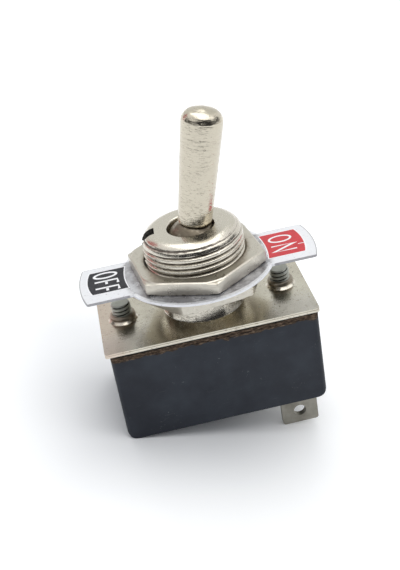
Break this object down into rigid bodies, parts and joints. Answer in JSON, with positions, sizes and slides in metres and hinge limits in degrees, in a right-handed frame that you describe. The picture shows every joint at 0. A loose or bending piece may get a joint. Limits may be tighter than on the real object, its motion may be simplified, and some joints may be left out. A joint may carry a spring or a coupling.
{
  "type": "panel toggle switch",
  "caption": "Panel toggle switch: a tapered bat lever in a threaded bushing with hexagon nuts and a tabbed label plate, over a screwed box housing with blade terminals.",
  "frame": {"origin": "on the bushing's axis, at the top face of the upper nut", "axes": "+Z along the bushing toward the lever, +X toward the ON tab of the label plate, so the lever swings in the XZ plane and the housing hangs below"},
  "size_m": [0.0284, 0.0184, 0.0415],
  "materials": {
    "nickel_bright": "nickel plated, turned and polished",
    "nickel_steel": "nickel plated steel",
    "label_aluminium": "satin aluminium with printed fields",
    "gasket_fibre": "vulcanised fibre",
    "housing_phenolic": "moulded phenolic, satin",
    "screw_steel": "grey passivated steel",
    "pin_steel": "ground steel",
    "spring_steel": "drawn wire",
    "plunger_nylon": "natural nylon",
    "rocker_phenolic": "moulded phenolic",
    "contact_brass": "rolled brass",
    "contact_silver": "silver",
    "terminal_brass": "nickel plated brass, dull"
  },
  "bodies": {
    "base": {"housing": "housing_phenolic", "gasket": "gasket_fibre", "cover_plate": "nickel_steel", "bushing": "nickel_bright", "lower_nut": "nickel_steel", "label_plate": "label_aluminium", "upper_nut": "nickel_steel", "screw_left": "screw_steel", "screw_right": "screw_steel", "fixed_tip_front": "contact_silver", "fixed_tip_rear": "contact_silver", "terminal_front": "terminal_brass", "terminal_rear": "terminal_brass"},
    "lever": {"lever": "nickel_bright", "pivot_pin": "pin_steel", "plunger_spring": "spring_steel"},
    "plunger": {"plunger": "plunger_nylon"},
    "rocker": {"rocker": "rocker_phenolic", "contact_bar": "contact_brass", "bar_rivet": "contact_brass", "moving_tip_front": "contact_silver", "moving_tip_rear": "contact_silver"}
  },
  "joints": [
    {"name": "lever_swing", "type": "hinge", "parent": "base", "child": "lever", "pos_m": [0, 0, 0.00117], "axis": [0, -1, 0], "range_deg": [0, 25.6]},
    {"name": "plunger_slide", "type": "slide", "parent": "lever", "child": "plunger", "axis": [0.2215, 0, 0.9751], "range_m": [0, 0.0005], "stiffness_N_per_m": 250, "springref_m": -0.0008, "deforming": ["plunger_spring"]},
    {"name": "rocker_tilt", "type": "hinge", "parent": "base", "child": "rocker", "pos_m": [0, 0, -0.0124], "axis": [0, -1, 0], "range_deg": [-14, 0]}
  ],
  "couplings": [
    {"joint": "rocker_tilt", "follows": "lever_swing", "ratio": -0.54688}
  ]
}
